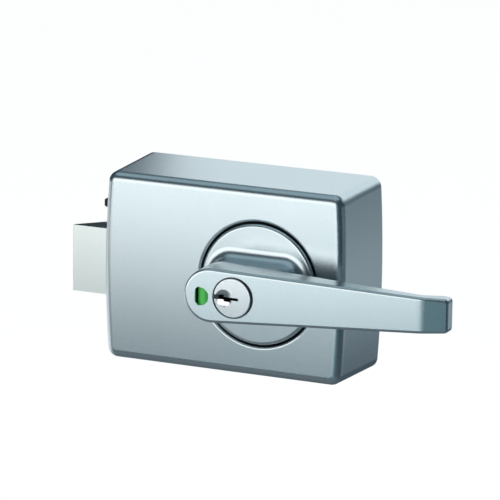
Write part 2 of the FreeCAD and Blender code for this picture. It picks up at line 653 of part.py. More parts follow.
def make_chassis_plate():
    """Steel plate that closes the mechanism, with two folded tabs that the springs push on."""
    body = new_body("chassis_plate")
    right, half = right_wall_in - "cover_gap", half_high - "side_wall" - "cover_gap"
    level = (-size("cover_front"), cover_back)
    block("cover_sheet", (cover_left, right), level, (middle - half, middle + half), body, "Additive")
    round_edges(body, "cover_corners", corner_edge((cover_left, right), half, middle.value), "plate_round")
    notch = size("ledge_half") + 0.6
    block("cover_notch", (hook_x - "cover_gap", right + 1), (level[0] - 1, 0), (-notch, notch), body,
          "Subtractive")
    spring_z = -size("spring_down")
    block("bolt_spring_tab", (spring_wall, spring_wall + "cover_thick"),
          (-size("tail_front") - 2, -size("cover_front")),
          (spring_z - "tab_half", spring_z + "tab_half"), body, "Additive")
    block("plunger_spring_tab", (post_left, post_left + "cover_thick"),
          (-size("plunger_front") - 1, -size("cover_front")),
          (plunger_low - 1, plunger_top + 1.9), body, "Additive")
    rod("follower_hole", size("follower_radius") + "run_gap", "cover_thick", 0, cover_back, 0, TO_VIEWER,
        body, "Subtractive")
    rod("guide_hole", size("guide_pin") + "run_gap", "cover_thick", -size("guide_pin_left"), cover_back, 0,
        TO_VIEWER, body, "Subtractive")
    for number, (x, z) in enumerate(COVER_BOSSES, start=1):
        rod("cover_hole_%d" % number, size("small_screw") + "screw_gap", "cover_thick", x, cover_back, z,
            TO_VIEWER, body, "Subtractive")
    return body


def make_lever_bearing():
    """Steel plate behind the front wall in which the lever's hub turns."""
    body = new_body("lever_bearing")
    wide, high = size("bearing_wide") / 2, size("bearing_high") / 2
    seat = inner_front + "bearing_boss_long"
    block("bearing_sheet", (-wide, wide), (seat, bearing_back), (-high, high), body, "Additive")
    round_edges(body, "bearing_corners", corner_edge((-wide, wide), high), "bearing_round")
    rod("bearing_hole", size("hub_radius") + "run_gap", "bearing_thick", 0, bearing_back, 0, TO_VIEWER, body,
        "Subtractive")
    for number, (x, z) in enumerate(BEARING_BOSSES, start=1):
        rod("bearing_screw_hole_%d" % number, size("small_screw") + "screw_gap", "bearing_thick", x,
            bearing_back, z, TO_VIEWER, body, "Subtractive")
    return body


def make_screws(name, places, head_front, long):
    """Pan-head screws with a cross recess; their heads stand on head_front and they point to the viewer."""
    screws = []
    long_half, wide_half = size("slot_half"), size("slot_wide") / 2
    for number, (x, z) in enumerate(places, start=1):
        tag = "%s_%d" % (name, number)
        shank = rod(tag + "_shank", "small_screw", size(long), x, head_front, z, TO_VIEWER)
        head = rod(tag + "_head", "small_head", "head_thick", x, head_front + "head_thick", z, TO_VIEWER)
        deep = (head_front + size("head_thick") / 2, head_front + size("head_thick") * 2)
        bars = [block(tag + "_slot_x", (x - long_half, x + long_half), deep, (z - wide_half, z + wide_half)),
                block(tag + "_slot_z", (x - wide_half, x + wide_half), deep, (z - long_half, z + long_half))]
        screws.append(cut(tag, fuse(tag + "_blank", [shank, head]), bars))
    return gather(name, screws)


def gather(name, things):
    """Several separate solids as one node."""
    group = doc.addObject("Part::Compound", name)
    group.Links = things
    return group


def make_case_screws():
    """Countersunk screws through the bolt-side wall into the mounting plate's flange."""
    screws = []
    for number, z in enumerate(SCREW_RISES, start=1):
        tag = "case_screw_%d" % number
        y = -size("case_screw_in")
        shank = rod(tag + "_shank", "case_screw", "case_screw_long", screw_face, y, z, TO_GRIP)
        head = taper(tag + "_head", "case_head", "case_screw", "case_head_deep", screw_face, y, z, TO_GRIP)
        deep = (screw_face - 1, screw_face + 1.1)
        bars = [block(tag + "_slot_y", deep, (y - 2, y + 2), (z - 0.4, z + 0.4)),
                block(tag + "_slot_z", deep, (y - 0.4, y + 0.4), (z - 2, z + 2))]
        screws.append(cut(tag, fuse(tag + "_blank", [shank, head]), bars))
    return gather("case_screws", screws)


def make_tube(name, outer, inner, long, x, y, z, turn):
    """A hidden spring as a plain tube of its own outside and inside size."""
    return cut(name, rod(name + "_outside", outer, long, x, y, z, turn),
               [rod(name + "_inside", inner, long, x, y, z, turn)])


def make_hub_cam():
    """Steel cam keyed on the hub's flats. Its arm's right flank is an involute of the pull circle, so
    that it pushes the tail's lug at a constant rate."""
    body = new_body("hub_cam")
    disc = sketch(body, "cam_disc", "XZ_Plane", -cam_back)
    ring(disc, "cam_ring")
    pad(body, "cam_plate", disc, "cam_thick")
    swing = math.radians(SIZES["lever_swing"])
    tip_x = arm_radius * (swing * math.cos(swing) - math.sin(swing))
    tip_z = arm_radius * (swing * math.sin(swing) + math.cos(swing))
    inner = size("cam_ring") - 1.4
    arm = sketch(body, "cam_arm_outline", "XZ_Plane", -cam_back)
    outline(arm, [(0, inner), (0, arm_radius), (tip_x, tip_z), (-size("cam_arm"), tip_z - 0.8),
                  (-size("cam_arm"), inner - 0.9)], {1: arm_radius / 2})
    pad(body, "cam_arm_pad", arm, "cam_thick")
    hole = sketch(body, "cam_hole", "XZ_Plane", -cam_front)
    radius = size("hub_radius") + "run_gap"
    flat = size("hub_flat") + "run_gap"
    side = root(radius * radius - flat * flat)
    outline(hole, [(-side, -flat), (side, -flat), (side, flat), (-side, flat)], {1: radius, 3: radius})
    pocket(body, "cam_bore", hole, "cam_thick", along=False)
    return body


def make_clip(name, inner, outer, y, thick, slit):
    """A spring clip: a flat ring with a slit at the bottom."""
    ring_out = rod(name + "_outside", outer, thick, 0, y, 0, TO_DOOR)
    ring_in = rod(name + "_inside", inner, thick, 0, y, 0, TO_DOOR)
    half = size(slit)
    gap = block(name + "_slit", (-half, half), (y - 1, y + thick + 1), (-size(outer) - 1, 0))
    return cut(name, ring_out, [ring_in, gap])


def make_latch_bolt():
    """Stainless bolt head: flat in front, bevelled towards the door, with a slot for the tail."""
    body = new_body("latch_bolt")
    tip, end = -size("bolt_tip"), -size("bolt_end")
    near, far, half = -size("bolt_front"), -size("bolt_back"), size("bolt_high") / 2
    side = sketch(body, "bolt_side", "XY_Plane", -half)
    outline(side, [(tip, near), (end, near), (end, far), (tip + "bolt_bevel", far),
                   (tip, near + "bolt_nose")])
    pad(body, "bolt_head", side, "bolt_high")
    round_edges(body, "bolt_edges", lambda edge: edge.BoundBox.XMax < end.value - 1, 0.25)
    gap = size("run_gap")
    block("tail_slot", (end - "tail_lap" - gap, end + 1), (-size("tail_front") - gap, tail_back + gap),
          (-size("tail_half") - gap, gap + "tail_half"), body, "Subtractive")
    for number, z in enumerate(RIVET_RISES, start=1):
        rod("rivet_hole_%d" % number, gap + "rivet_radius", rivet_long, rivet_x, far, z, TO_VIEWER, body,
            "Subtractive")
    return body


def make_bolt_tail():
    """Steel tail plate: slotted for the guide pin, with an ear for the spring and an arm with two lugs."""
    body = new_body("bolt_tail")
    half, end = size("tail_half"), -size("bolt_end") - "tail_lap"
    ear_left, right, arm = ear_right - "ear_thick", size("tail_right"), size("tail_arm")
    shape = sketch(body, "tail_outline", "XZ_Plane", -tail_back)
    outline(shape, [(end, -half), (ear_left, -half), (ear_left, ear_low), (ear_right, ear_low),
                    (ear_right, -half), (right, -half), (right, arm), (lug_right, arm + 5),
                    (lug_right, lug_high), (1 - right, lug_high), (1 - right, arm + 2),
                    (-right - 4, half), (end, half)])
    pad(body, "tail_plate", shape, "tail_thick")
    block("front_lug", (lug_left, lug_right), (bearing_back + 0.2, 0.5 - size("tail_front")),
          (lug_low, lug_high), body, "Additive")
    block("rear_lug", (lug_left, lug_right), (tail_back - 0.5, -size("lug_back")), (lug_low, lug_high), body,
          "Additive")
    pin_x, gap = -size("guide_pin_left"), size("slide_gap") + "guide_pin"
    block("guide_slot", (pin_x - "bolt_travel", pin_x), (-size("tail_front"), tail_back), (-gap, gap), body,
          "Subtractive")
    for name, x in (("guide_slot_left", pin_x - "bolt_travel"), ("guide_slot_right", pin_x)):
        rod(name, gap, "tail_thick", x, tail_back, 0, TO_VIEWER, body, "Subtractive")
    for number, z in enumerate(RIVET_RISES, start=1):
        rod("tail_rivet_hole_%d" % number, size("run_gap") + "rivet_radius", "tail_thick", rivet_x, tail_back,
            z, TO_VIEWER, body, "Subtractive")
    return body


def make_tail_rivets():
    """Rivets through the bolt head and the tail."""
    return gather("tail_rivets", [rod("tail_rivet_%d" % number, "rivet_radius", rivet_long - "near_gap",
                                      rivet_x, -size("bolt_back"), z, TO_VIEWER)
                                  for number, z in enumerate(RIVET_RISES, start=1)])


def make_guide_pin():
    """Headed pin on the chassis plate that the tail's slot runs on."""
    head_back = -size("tail_front") - 0.15
    shank = rod("guide_pin_shank", "guide_pin", cover_back - head_back, -size("guide_pin_left"), cover_back,
                0, TO_VIEWER)
    head = rod("guide_pin_head", size("guide_pin") + "guide_head", "guide_head_thick",
               -size("guide_pin_left"), head_back, 0, TO_VIEWER)
    return fuse("guide_pin", [shank, head])


def make_plunger():
    """Deadlocking plunger: a flat nose, and a body with a ramp beneath that pushes the detent down."""
    body = new_body("deadlock_plunger")
    tip, top, low = -size("plunger_tip"), plunger_top, plunger_low
    back = size("plunger_thick") - "plunger_front"
    nose = sketch(body, "plunger_nose_outline", "XZ_Plane", -back)
    nose_back, corner = left_wall_in + "nose_back", size("nose_corner")
    outline(nose, [(tip, low + "nose_bevel_high"), (tip + "nose_bevel_long", low), (nose_back, low),
                   (nose_back, top), (tip + corner, top), (tip, top - corner)])
    pad(body, "plunger_nose", nose, "plunger_thick")
    main = sketch(body, "plunger_body_outline", "XZ_Plane", -back - "plunger_side")
    left, right = left_wall_in + corner, -size("plunger_end")
    over = top + "plunger_over"
    outline(main, [(left, ramp_height(left)), (right, ramp_height(right)), (right, over),
                   (left, over)])
    pad(body, "plunger_body", main, size("plunger_side") * 2 + "plunger_thick")
    return body


def ramp_height(x):
    """The height of the plunger's ramp at x, with the plunger at rest."""
    return (size(x) - "ramp_start") * "ramp_rise" + half_high - "ramp_low_in"


detent_x = (-size("detent_left"), size("detent_wide") - "detent_left")
detent_low = size("bolt_high") / 2 + "detent_rest" + size("plunger_travel") * "ramp_rise"
detent_y = (-size("plunger_front") - "detent_over", size("plunger_thick") - "plunger_front" + "detent_under")


def make_detent():
    """Deadlock detent: a block with a sloped top that the plunger's ramp slides on."""
    body = new_body("deadlock_detent")
    shape = sketch(body, "detent_outline", "XZ_Plane", -detent_y[1])
    gap = size("detent_gap")
    outline(shape, [(detent_x[0], detent_low), (detent_x[1], detent_low),
                    (detent_x[1], ramp_height(detent_x[1]) - gap),
                    (detent_x[0], ramp_height(detent_x[0]) - gap)])
    pad(body, "detent_block", shape, detent_y[1] - detent_y[0])
    return body


def make_detent_guide():
    """Bracket on the chassis plate that holds the detent from both sides and from behind."""
    gap, cheek = size("slide_gap"), size("cheek_thick")
    low, top = size("bolt_high") / 2 + "guide_up", size("bolt_high") / 2 + "guide_top"
    left, right = detent_x[0] - gap, detent_x[1] + gap
    back = block("detent_guide_back", (left - cheek, right + cheek),
                 (detent_y[1] + gap, -size("cover_front")), (low, top))
    cheeks = [block("detent_cheek_left", (left - cheek, left), (detent_y[0], detent_y[1] + cheek),
                    (low, top)),
              block("detent_cheek_right", (right, right + cheek), (detent_y[0], detent_y[1] + cheek),
                    (low, top))]
    return fuse("detent_guide", [back] + cheeks)


def pin_rods(name, radius, starts, ends):
    """One cylinder along X for each of the five pin levels."""
    return [rod("%s_%d" % (name, number), radius, size(end) - start, start, y, 0, TO_GRIP)
            for number, (y, start, end) in enumerate(zip(PIN_LEVELS, starts, ends), start=1)]


shear = size("plug_radius")
hole_end = size("chamber_reach") - "cover_deep"


def make_cylinder_body():
    """Cylinder body: a barrel for the plug and a chamber block for the pins."""
    body = new_body("cylinder_body")
    end = -size("barrel_end")
    rod("barrel", "barrel_radius", end - barrel_front, 0, end, 0, TO_VIEWER, body, "Additive")
    half = size("chamber_half")
    block("chamber", (0, "chamber_reach"), (chamber_front, PIN_LEVELS[4] + "chamber_margin"), (-half, half),
          body, "Additive")
    rod("plug_bore", shear + "run_gap", end - barrel_front, 0, end, 0, TO_VIEWER, body, "Subtractive")
    for number, y in enumerate(PIN_LEVELS, start=1):
        rod("chamber_hole_%d" % number, size("pin_radius") + "run_gap", hole_end - "pin_hole_start",
            "pin_hole_start", y, 0, TO_GRIP, body, "Subtractive")
    block("cover_slot", (hole_end, size("chamber_reach") + 1),
          (PIN_LEVELS[0] - "cover_margin", PIN_LEVELS[4] + "cover_margin"),
          (-size("cover_half"), "cover_half"),
          body, "Subtractive")
    rod("set_screw_seat", size("small_screw") + "run_gap", "seat_deep", 0, set_screw_y,
        -size("barrel_radius") - 0.1, FreeCAD.Rotation(), body, "Subtractive")
    return body


def make_plug():
    """Plug with its face, key slot, thumb dimple, pin holes and tail."""
    body = new_body("plug")
    step, end = -plug_step, -size("barrel_end")
    rod("plug_barrel", shear, end - step, 0, end, 0, TO_VIEWER, body, "Additive")
    rod("plug_flange", "plug_face", step + plug_front, 0, step, 0, TO_VIEWER, body, "Additive")

    def face_rim(edge):
        return close(edge.BoundBox.YMax, -plug_front.value) and edge.BoundBox.ZLength > 2

    round_edges(body, "plug_face_round", face_rim, "face_round")
    rod("plug_tail", "tail_radius", "tail_long", 0, end + "tail_long", 0, TO_VIEWER, body, "Additive")
    across = size("dimple_radius")
    deep = size("dimple_deep")
    ball = (across * across + deep * deep) / (deep * 2)
    dimple = body.newObject("PartDesign::SubtractiveSphere", "dimple")
    bind(dimple, Radius=ball)
    place(dimple, -across, deep - plug_front - ball, -size("dimple_low"))
    slot, reach = size("key_slot"), size("key_slot_reach")
    long = (-plug_front - 1, -size("slot_end"))
    lap = size("slot_lap")
    mouth, step_end = -size("slot_mouth_end"), -size("slot_step_end")
    parts = (("key_slot_wide", (-size("slot_mouth_start"), mouth), (-(slot + lap) / 2, (slot + lap) / 2)),
             ("key_slot_low", (mouth - lap, step_end), (-slot, lap / 2)),
             ("key_slot_end", (step_end - lap, reach), (-slot / 2, slot / 2 - "slot_rise")))
    for name, x, z in parts:
        block(name, x, long, z, body, "Subtractive")
    for number, y in enumerate(PIN_LEVELS, start=1):
        rod("plug_pin_hole_%d" % number, size("pin_radius") + "run_gap", shear - 1, reach - 1, y, 0, TO_GRIP,
            body, "Subtractive")
    rod("tail_thread", size("small_screw") + "run_gap", "thread_deep", 0, end + "tail_long", 0, TO_VIEWER,
        body, "Subtractive")
    return body


def make_tail_cam():
    """Steel cam on the plug's tail, with a nose at its foot."""
    y = size("run_gap") - "barrel_end"
    half, thick = size("cam_nose_half"), size("cam_disc_thick")
    disc = rod("tail_cam_disc", "cam_disc", thick, 0, y, 0, TO_DOOR)
    nose = block("tail_cam_nose", (-half, half), (y, y + thick),
                 (-size("cam_nose_end"), -size("cam_nose_start")))
    hole = rod("tail_cam_hole", size("tail_radius") + "run_gap", thick, 0, y, 0, TO_DOOR)
    return cut("plug_tail_cam", fuse("tail_cam_blank", [disc, nose]), [hole])


def make_tail_cam_screw():
    y = size("tail_long") + "run_gap" - "barrel_end"
    wide, thick, half = size("cam_screw_head"), size("cam_screw_head_thick"), size("cam_screw_slot")
    head = rod("tail_cam_screw_head", wide, thick, 0, y, 0, TO_DOOR)
    shank = rod("tail_cam_screw_shank", "small_screw", size("cam_screw_long") + thick / 2, 0, y + thick / 2,
                0, TO_VIEWER)
    slot = block("tail_cam_screw_slot", (-wide, wide), (y + thick / 2, y + thick + 1), (-half, half))
    return cut("tail_cam_screw", fuse("tail_cam_screw_blank", [head, shank]), [slot])


def make_drum():
    """Two-coloured drum behind the window, on two stub axles."""
    half = size("drum_high") / 2
    drum = rod("drum_barrel", "drum_radius", "drum_high", drum_x, drum_y, -half, FreeCAD.Rotation())
    axle = rod("drum_axle", "axle_radius", (half + "axle_reach") * 2, drum_x, drum_y, -half - "axle_reach",
               FreeCAD.Rotation())
    return fuse("indicator_drum", [drum, axle])


def make_carrier():
    """Plastic carrier that holds the drum's axles at both ends."""
    half, right = carrier_half, -size("carrier_right") - "slide_gap"
    room = size("drum_radius") + "slide_gap"
    blank = block("carrier_blank", (carrier_left, right), (carrier_front + "carrier_wall", carrier_back),
                  (-half, half))
    inside = size("drum_high") / 2 + "drum_gap"
    hollow = [rod("carrier_round", room, inside * 2, drum_x, drum_y, -inside, FreeCAD.Rotation()),
              block("carrier_front_gap", (drum_x - room, drum_x + room), (carrier_front - 1, drum_y),
                    (-inside, inside)),
              block("carrier_side_gap", (drum_x, right + 1), (carrier_front - 1, drum_y + room),
                    (-inside, inside)),
              rod("carrier_axle_hole", size("axle_radius") + "run_gap", half * 2, drum_x, drum_y, -half,
                  FreeCAD.Rotation())]
    return cut("indicator_carrier", blank, hollow)


def make_follower():
    """Follower for the outside cylinder's tail bar, with a cross slot and an arm."""
    body = new_body("outside_follower")
    arm_front, arm_back, half = -size("follower_arm_front"), -size("follower_arm_back"), size("arm_half")
    rod("follower_hub", "follower_radius", -arm_front - "hub_back", 0, -size("hub_back"), 0, TO_VIEWER, body,
        "Additive")
    rod("follower_flange", "follower_flange", "flange_long", 0, -size("cover_front") - "run_gap", 0,
        TO_VIEWER, body, "Additive")
    lean = math.radians(42.5)
    across, along = math.cos(lean), math.sin(lean)
    corners = [(x, z) for x, z in ((-half, "arm_start"), (half, "arm_start"), (half, "arm_reach"),
                                    (-half, "arm_reach"))]
    arm = sketch(body, "follower_arm_outline", "XZ_Plane", -arm_back)
    outline(arm, [(size(x) * across - size(z) * along, size(x) * along + size(z) * across)
                  for x, z in corners])
    pad(body, "follower_arm", arm, arm_back - arm_front)
    long, wide = size("bar_slot_long") / 2, size("bar_slot_wide") / 2
    for name, x, z in (("bar_slot_flat", long, wide), ("bar_slot_upright", wide, long)):
        block(name, (-x, x), (arm_back, 0), (-z, z), body, "Subtractive")
    groove = sketch(body, "follower_groove_outline", "XZ_Plane", "follower_groove_front")
    ring(groove, size("follower_radius") + 1)
    ring(groove, "follower_groove")
    pocket(body, "follower_groove_cut", groove, "follower_groove_long")
    return body


make_case()
make_mounting_plate()
make_case_screws()
make_chassis_plate()
make_screws("chassis_screws", COVER_BOSSES, cover_back, "cover_screw_long")
make_lever_bearing()
make_screws("bearing_screws", BEARING_BOSSES, bearing_back, "bearing_screw_long")
make_tube("lever_return_spring", size("shoulder_radius") + "return_outer",
          size("shoulder_radius") + "return_inner", size("return_thick"), 0, shoulder_back - "return_gap", 0,
          TO_VIEWER)
make_guide_pin()
make_tube("bolt_spring", "spring_radius", size("spring_radius") - "spring_wire",
          spring_wall - ear_right - size("spring_seat") * 2, ear_right + "spring_seat", spring_y,
          -size("spring_down"), TO_GRIP)
make_tube("plunger_spring", "plunger_spring_outer", "plunger_spring_inner",
          post_left + "plunger_end" - size("spring_seat") * 2, size("spring_seat") - "plunger_end",
          size("plunger_thick") / 2 - "plunger_front", half_high - "plunger_spring_in", TO_GRIP)
make_detent_guide()
make_lever()
make_hub_cam()
make_clip("hub_clip", groove_radius + "run_gap", size("hub_radius") + "clip_reach", clip_front + "run_gap",
          size("clip_thick"), "clip_mouth")
make_cylinder_body()
rod("cylinder_set_screw", "small_screw", "set_screw_long", 0, set_screw_y, 0.4 - size("shoulder_radius"),
    FreeCAD.Rotation())
driver_start = shear + "shear_gap"
driver_end = driver_start + "driver_long"
spring_start = driver_end + "pin_spring_gap"
gather("driver_pins", pin_rods("driver_pin", "pin_radius", [driver_start] * 5, [driver_end] * 5))
gather("pin_springs", [make_tube("pin_spring_%d" % number, "pin_spring_outer", "pin_spring_inner",
                                 hole_end - spring_start - size("pin_spring_gap") * 2, spring_start, y, 0,
                                 TO_GRIP) for number, y in enumerate(PIN_LEVELS, start=1)])
cover_edge = size("cover_margin") - "run_gap"
cover_side = size("cover_half") - "run_gap"
block("pin_cover", (hole_end + "run_gap", "chamber_reach"),
      (PIN_LEVELS[0] - cover_edge, PIN_LEVELS[4] + cover_edge), (-cover_side, cover_side))
make_carrier()
make_plug()
gather("key_pins", pin_rods("key_pin", "pin_radius", ["key_pin_%d" % number for number in range(1, 6)],
                            [shear - "key_pin_end"] * 5))
make_tail_cam()
make_tail_cam_screw()
make_drum()
make_latch_bolt()
make_bolt_tail()
make_tail_rivets()
make_plunger()
make_detent()
make_follower()
make_clip("follower_clip", size("follower_groove") + "run_gap", "follower_clip_radius",
          -size("follower_groove_front") - "follower_groove_long" + "run_gap", size("follower_clip"),
          "arm_half")

NODES = ["case", "mounting_plate", "case_screws", "chassis_plate", "chassis_screws", "lever_bearing",
         "bearing_screws", "lever_return_spring", "guide_pin", "bolt_spring", "plunger_spring",
         "detent_guide", "lever_handle", "hub_cam", "hub_clip", "cylinder_body", "cylinder_set_screw",
         "driver_pins", "pin_springs", "pin_cover", "indicator_carrier", "plug", "key_pins",
         "plug_tail_cam", "tail_cam_screw", "indicator_drum", "latch_bolt", "bolt_tail", "tail_rivets",
         "deadlock_plunger", "deadlock_detent", "outside_follower", "follower_clip"]
doc.recompute()
for item in doc.Objects:
    if "Invalid" in item.State or "Error" in item.State:
        raise RuntimeError("%s did not build: %s" % (item.Label, item.State))
pieces = [doc.getObject(name) for name in NODES]
for piece in pieces:
    if piece.Shape.isNull() or not piece.Shape.isValid():
        raise RuntimeError("%s has no valid shape" % piece.Label)
os.makedirs("parts", exist_ok=True)
for piece in pieces:
    piece.Shape.exportStep("parts/%s.step" % piece.Label)
    print(piece.Label, len(piece.Shape.Solids), round(piece.Shape.Volume, 1))
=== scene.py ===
import bpy
import math
import mathutils
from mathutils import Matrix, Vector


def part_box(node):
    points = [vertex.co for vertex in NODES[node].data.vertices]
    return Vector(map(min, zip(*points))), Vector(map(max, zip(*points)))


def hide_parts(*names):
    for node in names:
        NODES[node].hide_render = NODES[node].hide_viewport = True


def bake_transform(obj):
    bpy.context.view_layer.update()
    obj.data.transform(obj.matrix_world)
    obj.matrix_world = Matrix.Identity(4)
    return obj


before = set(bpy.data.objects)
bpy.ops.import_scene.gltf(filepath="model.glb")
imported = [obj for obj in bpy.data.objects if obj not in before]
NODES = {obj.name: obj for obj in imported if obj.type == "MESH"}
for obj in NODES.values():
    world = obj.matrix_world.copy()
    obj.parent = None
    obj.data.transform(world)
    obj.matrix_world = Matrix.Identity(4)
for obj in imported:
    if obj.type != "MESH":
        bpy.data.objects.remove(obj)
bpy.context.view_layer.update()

scene = bpy.context.scene

BLACK = (0.0, 0.0, 0.0)

# Where a noise value starts and ends in colour ramps and gloss ranges
NOISE_LOW = 0.3
NOISE_HIGH = 0.7

# Surfaces: the slow change of tone, and the fine grain in gloss and height
TONE_SCALE = 38.0
TONE_DETAIL = 4.0
GRAIN_DETAIL = 4.0
GRAIN_ROUGHNESS = 0.65
GLOSS_LOW = 0.88
GLOSS_HIGH = 1.14
GRAIN_HEIGHT = 0.00005

# Turned faces: the rings round the lathe's axis
RING_SCALE = 4200.0
RING_DETAIL = 3.0
RING_ROUGHNESS = 0.7
RING_TONE_LOW = 0.9
RING_TONE_HIGH = 1.06
RING_GLOSS_LOW = 0.85
RING_GLOSS_HIGH = 1.2
RING_DEPTH = 0.25
RING_HEIGHT = 0.00004

# Flanks: how far a normal leans up or down before the surface counts as one and gets painted shade
FLANK_START = 0.6
FLANK_FULL = 0.9
# How dark the painted shade on the bolt's top and bottom flanks is, standing in for the dark they reflect
BOLT_FLANK_PAINTED_SHADE = 0.16

# Wound springs, in metres
TURN_STEPS = 24
WIRE_STEPS = 8
BOLT_SPRING_TURNS = 14
BOLT_SPRING_WIRE = 0.0008
PLUNGER_SPRING_TURNS = 6
PLUNGER_SPRING_WIRE = 0.0007

# Floor, in metres
FLOOR_SIZE = 30.0
FLOOR_LEVEL = -0.25
FLOOR_COLOUR = (0.4, 0.4, 0.4)
FLOOR_ROUGHNESS = 0.7
FLOOR_SEEN = (0.96, 0.96, 0.955, 1.0)

# Painted reflections: the floor glows in patches that only glossy rays see. Each patch's centre, reach,
# where its colour starts and is full, the colour
FRONT_REFLECTED_GLOW = ((0.05, -1.15, 0.0), 0.85, 0.1, 0.65, (0.1, 0.25, 0.29))
# Painted reflections: the dark glow between the patches, then the pale and dark glowing patches
REFLECTED_GLOW_BETWEEN = (0.01, 0.018, 0.028)
REFLECTED_GLOW_PATCHES = [
    ((-1.15, 0.3, 0.0), 1.05, 0.03, 0.3, (0.9, 0.9, 0.9)),
    ((-0.35, 1.55, 0.0), 1.2, 0.06, 0.6, (0.8, 0.87, 0.9)),
    ((0.72, 0.66, 0.0), 0.45, 0.1, 0.6, (0.38, 0.45, 0.48)),
    ((0.3, -0.36, 0.0), 0.34, 0.1, 0.6, (0.06, 0.08, 0.09)),
    ((1.85, 0.1, 0.0), 0.8, 0.05, 0.5, (0.3, 0.36, 0.39)),
]

# World
WORLD_COLOUR = (0.45, 0.75, 1.0, 1.0)
WORLD_STRENGTH = 0.08

# Soft lamps: name, place, aim, width, height, power, colour
LAMPS = [
    ("front_left", (-0.19, -0.38, 0.036), (-0.15, -0.03, 0.0), 0.58, 0.262, 0.74, (1.0, 0.985, 0.965)),
    ("top_back", (-0.004, 0.27, 0.17), (-0.004, -0.02, 0.035), 0.38, 0.2, 0.23, (0.92, 0.985, 1.0)),
    ("overhead", (-0.1, -0.1, 1.0), (-0.05, 0.0, 0.0), 1.2, 1.2, 2.0, (0.72, 0.92, 1.0)),
    ("right_back", (0.15, 0.14, 0.01), (0.03, -0.02, 0.03), 0.13, 0.14, 0.008, (0.84, 0.97, 1.0)),
    ("right_high", (0.5, 0.42, 0.42), (0.0, 0.0, 0.03), 0.5, 0.3, 0.2, (0.9, 0.97, 1.0)),
]

# Camera: degrees to the right of the front, above it and of roll, with its distance and aim in metres
CAMERA_LENS = 279.5
CAMERA_SENSOR = 36.0
CAMERA_TURN = 24.1142
CAMERA_RISE = 13.5043
CAMERA_ROLL = 0.8407
CAMERA_DISTANCE = 1.3918
CAMERA_AIM = (-0.01568, -0.00569, 0.0049)


# Materials: every one is a node tree with its own grain, tone and gloss.
def tree(name):
    """A new material, with its nodes, its links and its main shader."""
    material = bpy.data.materials.new(name)
    material.use_nodes = True
    nodes, links = material.node_tree.nodes, material.node_tree.links
    return material, nodes, links, nodes["Principled BSDF"]


def noise(nodes, links, vector, scale, detail, rough=0.55):
    """A noise value at a place."""
    node = nodes.new("ShaderNodeTexNoise")
    node.inputs["Scale"].default_value = scale
    node.inputs["Detail"].default_value = detail
    node.inputs["Roughness"].default_value = rough
    links.new(vector, node.inputs["Vector"])
    return node.outputs["Fac"]


def ramp(nodes, links, value, stops):
    """A colour between two stops, each a value and its colour."""
    node = nodes.new("ShaderNodeValToRGB")
    ends = node.color_ramp.elements
    for end, (place, colour) in zip(ends, stops):
        end.position = place
        end.color = (*colour, 1.0)
    links.new(value, node.inputs["Fac"])
    return node.outputs["Color"]


def spread(nodes, links, value, low, high):
    """A noise value moved into the range from low to high."""
    node = nodes.new("ShaderNodeMapRange")
    node.inputs["From Min"].default_value = NOISE_LOW
    node.inputs["From Max"].default_value = NOISE_HIGH
    node.inputs["To Min"].default_value = low
    node.inputs["To Max"].default_value = high
    links.new(value, node.inputs["Value"])
    return node.outputs["Result"]


def raise_grain(nodes, links, shader, height, strength, distance):
    """Small heights and hollows on a surface, from a noise value."""
    bump = nodes.new("ShaderNodeBump")
    bump.inputs["Strength"].default_value = strength
    bump.inputs["Distance"].default_value = distance
    links.new(height, bump.inputs["Height"])
    links.new(bump.outputs["Normal"], shader.inputs["Normal"])


def shade(colour, amount):
    """A colour made lighter or darker."""
    return tuple(min(1.0, part * amount) for part in colour)


def surface(name, colour, rough, metallic=1.0, stretch=(1, 1, 1), grain=900.0, depth=0.15, tone=0.06):
    """A surface with a soft change of tone, a gloss that varies, and a fine grain along stretch."""
    material, nodes, links, shader = tree(name)
    place = nodes.new("ShaderNodeTexCoord")
    mapping = nodes.new("ShaderNodeMapping")
    mapping.inputs["Scale"].default_value = stretch
    links.new(place.outputs["Object"], mapping.inputs["Vector"])
    soft = noise(nodes, links, place.outputs["Object"], TONE_SCALE, TONE_DETAIL)
    fine = noise(nodes, links, mapping.outputs["Vector"], grain, GRAIN_DETAIL, GRAIN_ROUGHNESS)
    stops = [(NOISE_LOW, shade(colour, 1.0 - tone)), (NOISE_HIGH, shade(colour, 1.0 + tone))]
    links.new(ramp(nodes, links, soft, stops), shader.inputs["Base Color"])
    gloss = spread(nodes, links, fine, rough * GLOSS_LOW, rough * GLOSS_HIGH)
    links.new(gloss, shader.inputs["Roughness"])
    raise_grain(nodes, links, shader, fine, depth, GRAIN_HEIGHT)
    shader.inputs["Metallic"].default_value = metallic
    return material


def turned(name, colour, rough):
    """A face turned on a lathe: rings round the Y axis in tone, gloss and height."""
    material, nodes, links, shader = tree(name)
    place = nodes.new("ShaderNodeTexCoord")
    flat = nodes.new("ShaderNodeVectorMath")
    flat.operation = "MULTIPLY"
    flat.inputs[1].default_value = (1.0, 0.0, 1.0)
    links.new(place.outputs["Object"], flat.inputs[0])
    radius = nodes.new("ShaderNodeVectorMath")
    radius.operation = "LENGTH"
    links.new(flat.outputs["Vector"], radius.inputs[0])
    joined = nodes.new("ShaderNodeCombineXYZ")
    links.new(radius.outputs["Value"], joined.inputs["X"])
    rings = noise(nodes, links, joined.outputs["Vector"], RING_SCALE, RING_DETAIL, RING_ROUGHNESS)
    stops = [(NOISE_LOW, shade(colour, RING_TONE_LOW)), (NOISE_HIGH, shade(colour, RING_TONE_HIGH))]
    links.new(ramp(nodes, links, rings, stops), shader.inputs["Base Color"])
    gloss = spread(nodes, links, rings, rough * RING_GLOSS_LOW, rough * RING_GLOSS_HIGH)
    links.new(gloss, shader.inputs["Roughness"])
    raise_grain(nodes, links, shader, rings, RING_DEPTH, RING_HEIGHT)
    shader.inputs["Metallic"].default_value = 1.0
    return material


